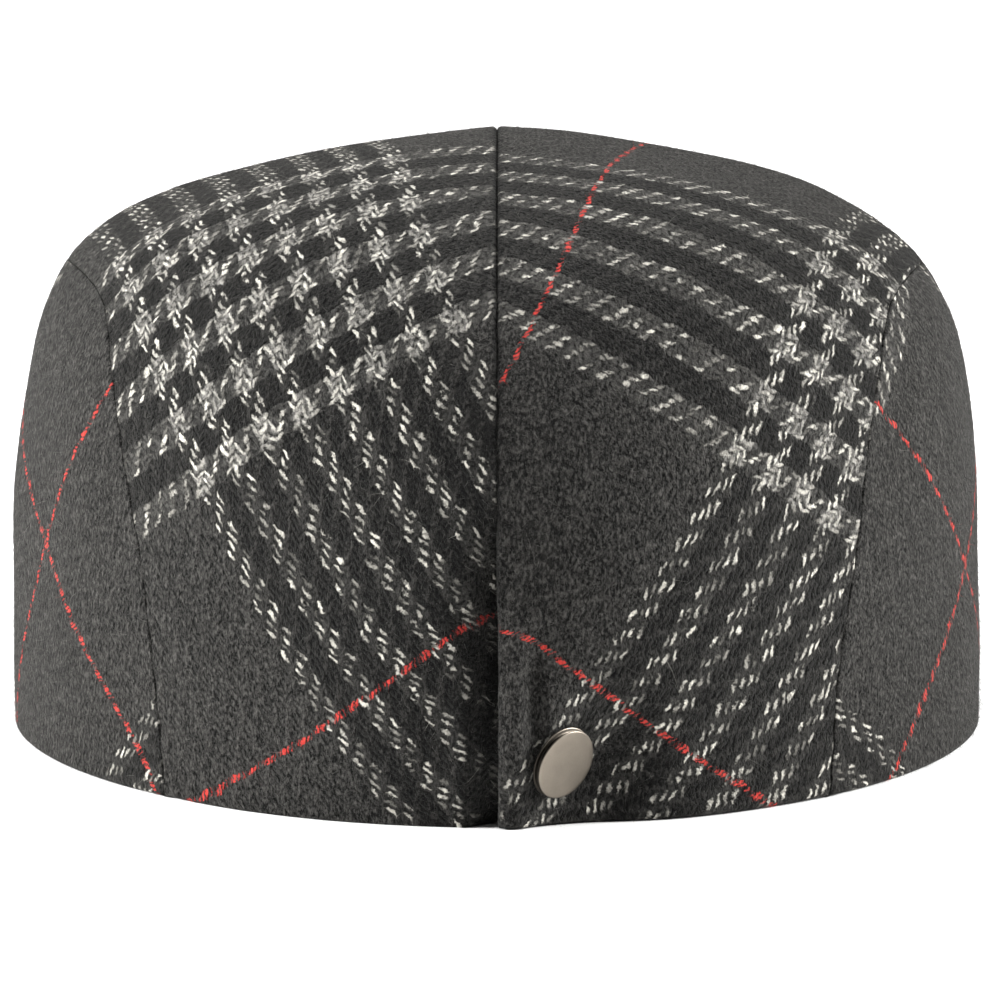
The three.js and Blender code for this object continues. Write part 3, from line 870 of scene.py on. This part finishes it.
# the panels
clothMaterial = wovenPlaid()
metalMaterial = satinMetal()
print("materials ready")
panelFaces = {}
for name in cuts:
    isSide = name.startswith("side")
    origin, towards = panelMesh["sideOrigin" if isSide else "topOrigin"]
    # which of the four edges are seams: back end, front end, centre or rim, side seam
    seams = (0, 1, 3) if isSide else (2, 3)
    mesh, panelFaces[name] = buildPanel(name, origin, towards, seams)
    addPiece(name + "_cloth", mesh, clothMaterial, node=name)


# fibres raised by milling
nap = {
    "perPanel": {"top": 26000, "side": 16000},
    "length": (0.5, 1.7),       # most of them
    "strayLength": (2.5, 5),    # one in a few hundred
    "strays": 0.006,
    "width": (0.03, 0.055),
    "taper": 0.7,               # how much of their width is gone at the tip
    "lift": (0.05, 0.7),        # how far they stand up, as a share of their length
    "curl": 0.45,
    "brushed": 1.2,             # how strongly they lie downwards rather than any way
    "pale": 0.8,
    "seed": 21,
}


ribbonPoints = 6                # two at each of a fibre's three stations


def raiseFibres(name, top, normal, clothPlace, count, seed):
    # each fibre is a ribbon over three stations: root + direction * length * share, bent by a
    # curl that grows with the square of the share
    rng = np.random.default_rng(seed)
    along, across = top[1:, :-1] - top[:-1, :-1], top[:-1, 1:] - top[:-1, :-1]
    areas = np.linalg.norm(np.cross(along, across), axis=-1)
    cells = rng.choice(areas.size, count, p=(areas / areas.sum()).ravel())
    i, j = np.unravel_index(cells, areas.shape)
    s, t = rng.random((2, count, 1))

    def at(grid):
        low = grid[i, j] * (1 - s) + grid[i + 1, j] * s
        return low * (1 - t) + (grid[i, j + 1] * (1 - s) + grid[i + 1, j + 1] * s) * t
    root, up = at(top), at(normal)

    def unit(vectors):
        return vectors / np.linalg.norm(vectors, axis=-1, keepdims=True)
    flat = np.cross(up, rng.normal(size=(count, 3))) - nap["brushed"] * np.array([0, 0, 1])
    flat = unit(flat - (flat * up).sum(-1, keepdims=True) * up)
    direction = unit(flat + up * rng.uniform(*nap["lift"], (count, 1)))
    curl = nap["curl"] * rng.normal(size=(count, 3))
    length = rng.uniform(*nap["length"], (count, 1))
    stray = rng.random((count, 1)) < nap["strays"]
    length = np.where(stray, rng.uniform(*nap["strayLength"], (count, 1)), length)
    width = unit(np.cross(direction, rng.normal(size=(count, 3))))
    width = width * rng.uniform(*nap["width"], (count, 1))
    share = np.array([0, 0.5, 1])[None, :, None]
    bent = direction[:, None] * share + curl[:, None] * share ** 2
    line = root[:, None] + bent * length[:, None]
    half = width[:, None] * (1 - nap["taper"] * share) / 2
    points = np.stack([line - half, line + half], 2)
    pair = np.array([[0, 1, 3, 2], [2, 3, 5, 4]])
    faces = np.arange(count)[:, None, None] * ribbonPoints + pair
    mesh = newMesh(name, points, faces.reshape(-1, 4))
    addClothMap(mesh, np.repeat(at(clothPlace), ribbonPoints, axis=0) * mm)
    addPointValue(mesh, "pale", np.repeat(nap["pale"] * rng.random(count) ** 2, ribbonPoints))
    print("raised fibres", name, count)
    return mesh


for turn, (name, faces) in enumerate(panelFaces.items()):
    count = nap["perPanel"][name.split("_")[0]]
    fibres = raiseFibres(name + "_nap", *faces, count, nap["seed"] + turn)
    addPiece(name + "_nap", fibres, clothMaterial)


# the peak
peakMesh = {"stations": 140, "rows": 40}


def buildPeak():
    # stations fan out from corner to corner, each from the head opening to the lip; the height
    # follows the crown's front edge and rises towards the forehead with the square of the place
    corner = math.radians(peakShape["cornerAngle"])
    angle = corner * (2 * crowded(peakMesh["stations"]) - 1)
    edge = crownPoint(discPoint(np.pi - angle, np.ones_like(angle)))[:, :2]
    reach = np.linalg.norm(edge, axis=-1)
    out = edge / reach[:, None]
    headSize = [peakShape["headHalfWidth"], peakShape["headHalfLength"]]
    head = 1 / np.hypot(*(out / headSize).T)
    swell = np.cos(angle * 90 / peakShape["cornerAngle"])       # from 1 in the middle to 0
    lip = peakShape["lipAtCorner"] + (peakShape["lip"] - peakShape["lipAtCorner"]) * swell
    radius = head[:, None] + (reach + lip - head)[:, None] * crowded(peakMesh["rows"])
    inward = np.maximum(0, (reach[:, None] - radius) / (reach - head)[:, None])
    rise = peakShape["innerRise"] * np.cos(angle)[:, None] * inward ** 2
    half = peakShape["thickness"] / 2
    middle = peakTop(angle)[:, None] + rise - half
    flat = np.concatenate([out[:, None] * radius[..., None], middle[..., None]], -1)
    distances = [edgeDistance(flat, axis, atEnd) for axis in (0, 1) for atEnd in (False, True)]
    thick = (half - roundedInset(distances, half, [half] * len(distances)))[..., None] * [0, 0, 1]
    points, faces, kept = closedShell(flat + thick, flat - thick, 1)
    mesh = newMesh("peak_cloth", points, faces)
    addClothMap(mesh, points[:, :2] * mm)
    addPointValue(mesh, "painted_shade", np.zeros(len(points)))
    print("peak", len(mesh.polygons), "faces")
    return mesh


addPiece("peak_cloth", buildPeak(), clothMaterial, node="peak")


# the snap
snapShape = {
    "rows": 96,
    # radius and height above the cloth, from the disc inside the head up the post and over the cap
    "profile": [
        (0, -8.8), (4.3, -8.8), (4.6, -8.6), (4.6, -8.0), (4.4, -7.8), (2, -7.8), (2, 0.25),
        (6, 0.25), (6.4, 0.29), (6.5, 0.4), (6.44, 0.52), (6.2, 0.58), (5.8, 0.62), (5.66, 0.8),
        (5.66, 1.15), (5.8, 1.34), (6.2, 1.42), (6.32, 1.5), (6.34, 1.6), (6.28, 1.71),
        (6.12, 1.78), (5.8, 1.82), (4.5, 1.89), (2.5, 1.95), (1, 1.97), (0, 1.97),
    ],
    # painted shade at each height: black in the groove, none on the cap's face
    "paintedSnapShade": [(0.2, 0.9), (0.62, 0.9), (0.8, 1), (1.34, 1), (1.44, 0.7), (1.6, 0.25), (1.8, 0)],
    "paintedWallShade": 0.75,        # more painted shade on the cap's wall on the wearer's left, shaded by the lapping edge and dark with the cloth it reflects
    "wallSide": (-0.1, 0.8),    # growing between these cosines of the way round
    "wallTop": (1.6, 1.8),      # and dying away between these heights
    "flangeTop": 0.7,           # the flange is below this,
    "paintedFlangeHighlight": (0.35, 0.9), # left bright at its top as a painted highlight, growing between these sines
}


def buildSnap():
    # the profile turned once round the cloth's own normal at the snap
    surface = panelSurface(False)
    centre = surface(snapDisc[None])[0]
    axis = normalOf(surface, snapDisc[None])[0]
    across = np.cross(axis, [0, 0, 1])
    across /= np.linalg.norm(across)
    up = np.cross(across, axis)
    profile = np.array(snapShape["profile"])
    turn = np.linspace(0, 2 * np.pi, snapShape["rows"], endpoint=False)
    sideways, upwards = np.cos(turn)[:, None], np.sin(turn)[:, None]
    ring = sideways * across + upwards * up
    body = profile[1:-1]
    points = centre + body[None, :, :1] * ring[:, None] + body[None, :, 1:] * axis
    ends = centre + profile[[0, -1], 1:] * axis
    rows, columns = points.shape[:2]
    index = np.arange(rows * columns).reshape(rows, columns)
    after = np.roll(index, -1, axis=0)
    walls = np.stack([index[:, :-1], after[:, :-1], after[:, 1:], index[:, 1:]], -1).reshape(-1, 4)
    low, high = rows * columns, rows * columns + 1
    caps = [[low, b, a] for a, b in zip(index[:, 0], after[:, 0])]
    caps += [[high, a, b] for a, b in zip(index[:, -1], after[:, -1])]
    mesh = newMesh("snap_cap", np.vstack([points.reshape(-1, 3), ends]), walls.tolist() + caps)
    # painted shade by height and on one side of the wall, less a painted highlight on the flange's
    # top
    heights, amounts = np.array(snapShape["paintedSnapShade"]).T
    height = body[None, :, 1]
    onFlange = height < snapShape["flangeTop"]
    flangeHighlight = smooth(upwards, *snapShape["paintedFlangeHighlight"]) * onFlange
    wall = smooth(sideways, *snapShape["wallSide"]) * (1 - smooth(height, *snapShape["wallTop"]))
    paintedSnapShade = np.maximum(np.interp(height, heights, amounts) * (1 - flangeHighlight),
                         snapShape["paintedWallShade"] * wall * ~onFlange)
    addPointValue(mesh, "paintedSnapShade", np.append(paintedSnapShade.ravel(), [0, 0]))      # and the two poles
    print("snap", len(mesh.polygons), "faces")
    return mesh


addPiece("snap_cap", buildSnap(), metalMaterial, node="snap")


# camera, floor and light
view = {
    "elevation": 8.8,           # degrees above level, from straight behind
    "distance": 1600,
    "aimHeight": 50,
    "lens": 313.6,
    "sensor": 36,
    "shiftX": 0.003,
    "shiftY": -0.0473,
    "clipEnd": 20,              # metres
}
studio = {
    "floorSize": 60,            # metres
    "fill": 0.07,
    "aim": (0, 0.02, 0.06),     # where the lights point, in metres
    # place in metres, size in metres, watts
    "lights": {
        "keyLeft": ((1.9, 0.1, 0.9), (0.8, 1.0), 124),
        "fillRight": ((-1.9, -0.12, 0.9), (0.8, 1.0), 106),
        "overhead": ((0.15, -0.3, 1.9), (1.4, 1.4), 21),
    },
}


def addCamera():
    lift = math.radians(view["elevation"])
    aim = np.array([0, crown["headCentreY"], view["aimHeight"]])
    away = np.array([0, math.cos(lift), math.sin(lift)]) * view["distance"]
    data = bpy.data.cameras.new("fromBehind")
    data.lens = view["lens"]
    data.sensor_width = view["sensor"]
    data.shift_x, data.shift_y = view["shiftX"], view["shiftY"]
    data.clip_end = view["clipEnd"]
    camera = bpy.data.objects.new("fromBehind", data)
    camera.location = (aim + away) * mm
    camera.rotation_euler = (math.pi / 2 - lift, 0, math.pi)
    bpy.context.scene.collection.objects.link(camera)
    bpy.context.scene.camera = camera


def addLight(name, place, size, watts):
    data = bpy.data.lights.new(name, "AREA")
    data.shape = "RECTANGLE"
    data.size, data.size_y = size
    data.energy = watts
    light = bpy.data.objects.new(name, data)
    light.location = place
    towards = Vector(studio["aim"]) - Vector(place)
    light.rotation_euler = towards.to_track_quat("-Z", "Y").to_euler()
    bpy.context.scene.collection.objects.link(light)


def addStudio():
    bpy.ops.mesh.primitive_plane_add(size=studio["floorSize"], location=(0, 0, 0))
    floor = bpy.context.object
    floor.name = "studio_floor"
    floor.data.materials.append(paperFloor())
    world = bpy.data.worlds.new("softStudio")
    world.use_nodes = True
    world.node_tree.nodes.clear()
    add = nodeAdder(world.node_tree)
    # white behind the cap, and a dimmer light on it
    strength = add("MapRange", add("LightPath"), 0.0, 1.0, studio["fill"], 1.0)
    add("OutputWorld", Surface=add("Background", (1, 1, 1, 1), strength))
    bpy.context.scene.world = world
    for name, light in studio["lights"].items():
        addLight(name, *light)
    bpy.context.scene.view_settings.view_transform = "Standard"


addCamera()
addStudio()
print("camera and studio ready")
